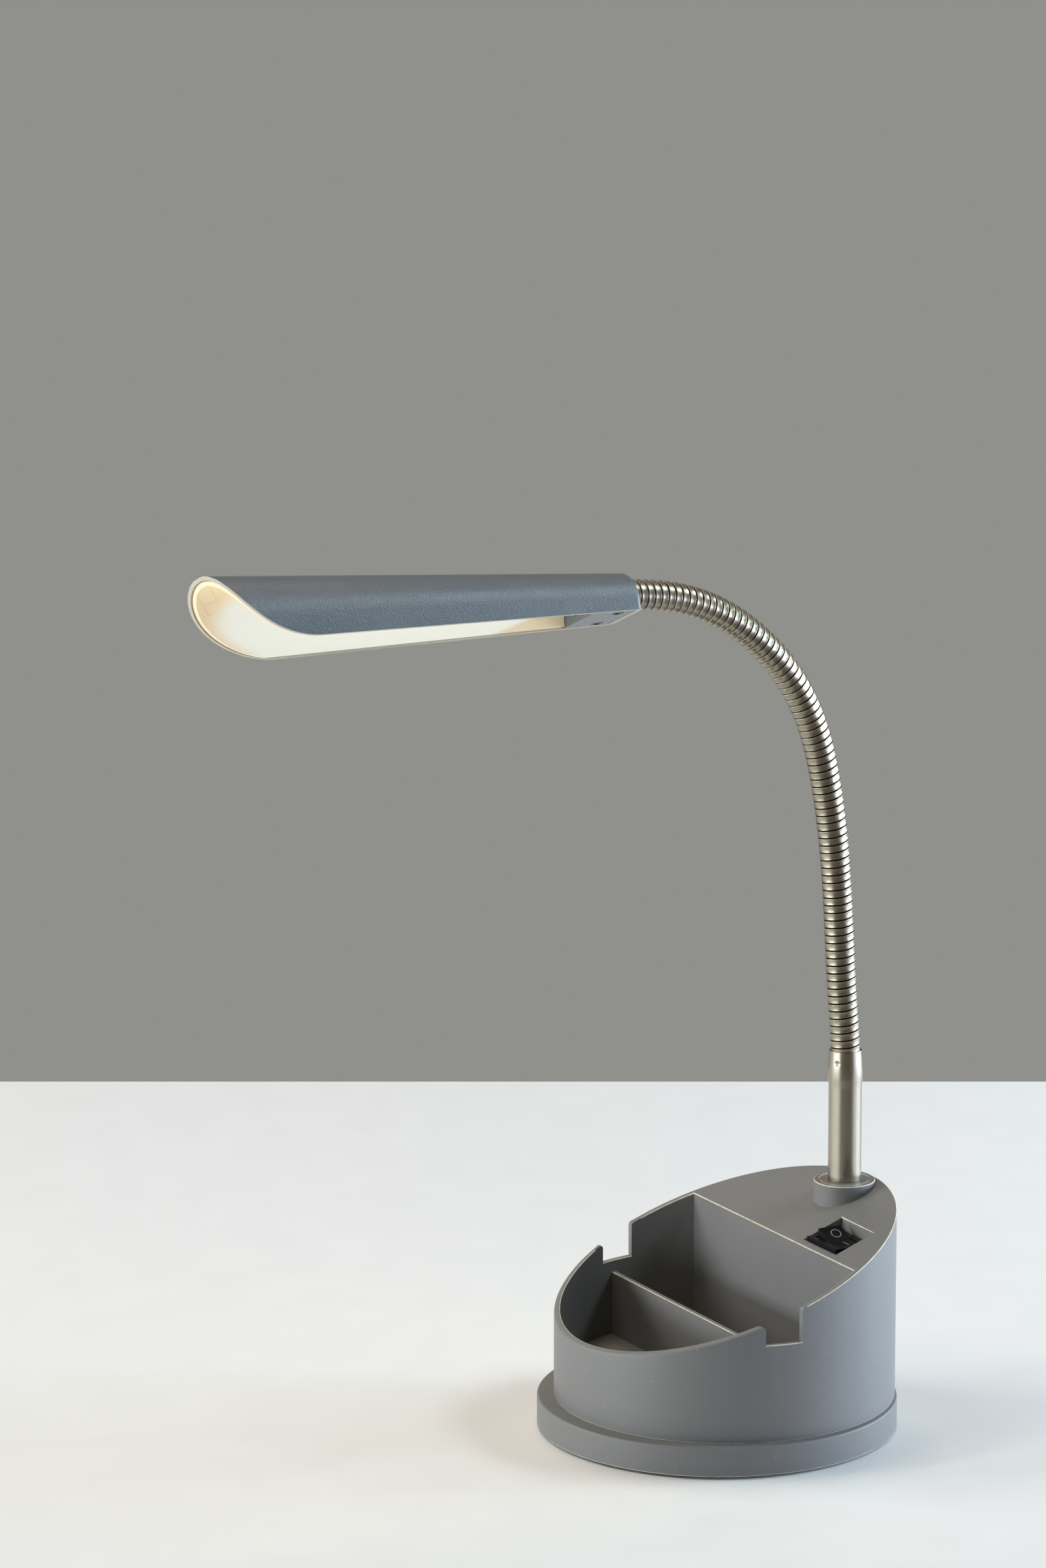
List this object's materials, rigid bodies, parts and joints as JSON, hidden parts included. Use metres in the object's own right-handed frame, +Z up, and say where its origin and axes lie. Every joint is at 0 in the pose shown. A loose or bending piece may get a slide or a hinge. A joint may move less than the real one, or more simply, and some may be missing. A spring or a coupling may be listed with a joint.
{
  "type": "desk lamp with organizer base",
  "caption": "Desk lamp with a trough-shaped head on a ribbed flexible neck, standing on a round organizer base with open compartments, side notches, a sloped deck and a rocker switch.",
  "frame": {"origin": "centre of the round foot, on the desk top", "axes": "+Z up, the lowest rim of the base and the lamp head face -Y, +X to the right of a user who faces the front, -Y towards the user"},
  "size_m": [0.14, 0.2912, 0.3598],
  "materials": {
    "base_plastic": "fine satin grain, mid grey",
    "head_plastic": "satin grain with a faint sparkle, blue grey",
    "nickel": "brushed nickel",
    "hose_steel": "satin nickel ribs",
    "zinc_steel": "plain zinc plate",
    "cast_steel": "raw",
    "switch_black": "gloss black",
    "gland_rubber": "matt black",
    "mat_rubber": "matt black",
    "brass": "plain",
    "diffuser_cream": "smooth, translucent cream",
    "board_green": "lacquered",
    "board_white": "lacquered",
    "chip_yellow": "phosphor",
    "component_dark": "moulded"
  },
  "bodies": {
    "base": {"organizer_body": "base_plastic", "base_foot": "base_plastic", "counterweight": "cast_steel", "bottom_cover": "base_plastic", "base_mat": "mat_rubber", "base_screws": "zinc_steel", "stem_tube": "nickel", "stem_bush": "base_plastic", "stem_washer": "zinc_steel", "stem_nut": "zinc_steel", "switch_housing": "switch_black", "switch_terminals": "brass", "cord_gland": "gland_rubber", "driver_board": "board_green", "board_components": "component_dark", "board_screws": "zinc_steel", "hose_link_01": "hose_steel"},
    "neck_02": {"hose_link_02": "hose_steel"},
    "neck_03": {"hose_link_03": "hose_steel"},
    "neck_04": {"hose_link_04": "hose_steel"},
    "neck_05": {"hose_link_05": "hose_steel"},
    "neck_06": {"hose_link_06": "hose_steel"},
    "neck_07": {"hose_link_07": "hose_steel"},
    "neck_08": {"hose_link_08": "hose_steel"},
    "neck_09": {"hose_link_09": "hose_steel"},
    "neck_10": {"hose_link_10": "hose_steel"},
    "neck_11": {"hose_link_11": "hose_steel"},
    "head": {"hose_link_12": "hose_steel", "head_shell": "head_plastic", "diffuser": "diffuser_cream", "led_board": "board_white", "led_chips": "chip_yellow", "rear_cover": "head_plastic", "neck_clamp": "base_plastic", "head_screws": "zinc_steel"},
    "rocker": {"rocker": "switch_black"}
  },
  "joints": [
    {"name": "lower_bend", "type": "hinge", "parent": "base", "child": "neck_02", "pos_m": [0, 0.05626, 0.15732], "axis": [1, 0, 0], "range_deg": [-10, 6]},
    {"name": "side_bend", "type": "hinge", "parent": "neck_02", "child": "neck_03", "pos_m": [0, 0.0546, 0.1786], "axis": [0, 0.9983, 0.0576], "range_deg": [-9, 9]},
    {"name": "lower_bend_2", "type": "hinge", "parent": "neck_03", "child": "neck_04", "pos_m": [0, 0.0533, 0.19991], "axis": [1, 0, 0], "range_deg": [-10, 6]},
    {"name": "lower_bend_3", "type": "hinge", "parent": "neck_04", "child": "neck_05", "pos_m": [0, 0.05151, 0.22118], "axis": [1, 0, 0], "range_deg": [-10, 6]},
    {"name": "side_bend_2", "type": "hinge", "parent": "neck_05", "child": "neck_06", "pos_m": [0, 0.04865, 0.24234], "axis": [0, 0.9863, 0.165], "range_deg": [-9, 9]},
    {"name": "lower_bend_4", "type": "hinge", "parent": "neck_06", "child": "neck_07", "pos_m": [0, 0.04423, 0.26322], "axis": [1, 0, 0], "range_deg": [-10, 6]},
    {"name": "upper_bend", "type": "hinge", "parent": "neck_07", "child": "neck_08", "pos_m": [0, 0.0368, 0.28319], "axis": [1, 0, 0], "range_deg": [-12, 6]},
    {"name": "upper_bend_2", "type": "hinge", "parent": "neck_08", "child": "neck_09", "pos_m": [0, 0.02502, 0.30093], "axis": [1, 0, 0], "range_deg": [-12, 6]},
    {"name": "side_bend_3", "type": "hinge", "parent": "neck_09", "child": "neck_10", "pos_m": [0, 0.00952, 0.31556], "axis": [0, 0.6088, 0.7934], "range_deg": [-9, 9]},
    {"name": "upper_bend_3", "type": "hinge", "parent": "neck_10", "child": "neck_11", "pos_m": [0, -0.00886, 0.3263], "axis": [1, 0, 0], "range_deg": [-12, 6]},
    {"name": "upper_bend_4", "type": "hinge", "parent": "neck_11", "child": "head", "pos_m": [0, -0.02934, 0.33215], "axis": [1, 0, 0], "range_deg": [-12, 6]},
    {"name": "rocker_tilt", "type": "hinge", "parent": "base", "child": "rocker", "pos_m": [0.0303, 0.0363, 0.0748], "axis": [0, -1, 0], "range_deg": [0, 30]}
  ],
  "couplings": [
    {"joint": "lower_bend_2", "follows": "lower_bend", "ratio": 1},
    {"joint": "lower_bend_3", "follows": "lower_bend", "ratio": 1},
    {"joint": "side_bend_2", "follows": "side_bend", "ratio": 1},
    {"joint": "lower_bend_4", "follows": "lower_bend", "ratio": 1},
    {"joint": "upper_bend_2", "follows": "upper_bend", "ratio": 1},
    {"joint": "side_bend_3", "follows": "side_bend", "ratio": 1},
    {"joint": "upper_bend_3", "follows": "upper_bend", "ratio": 1},
    {"joint": "upper_bend_4", "follows": "upper_bend", "ratio": 1}
  ]
}
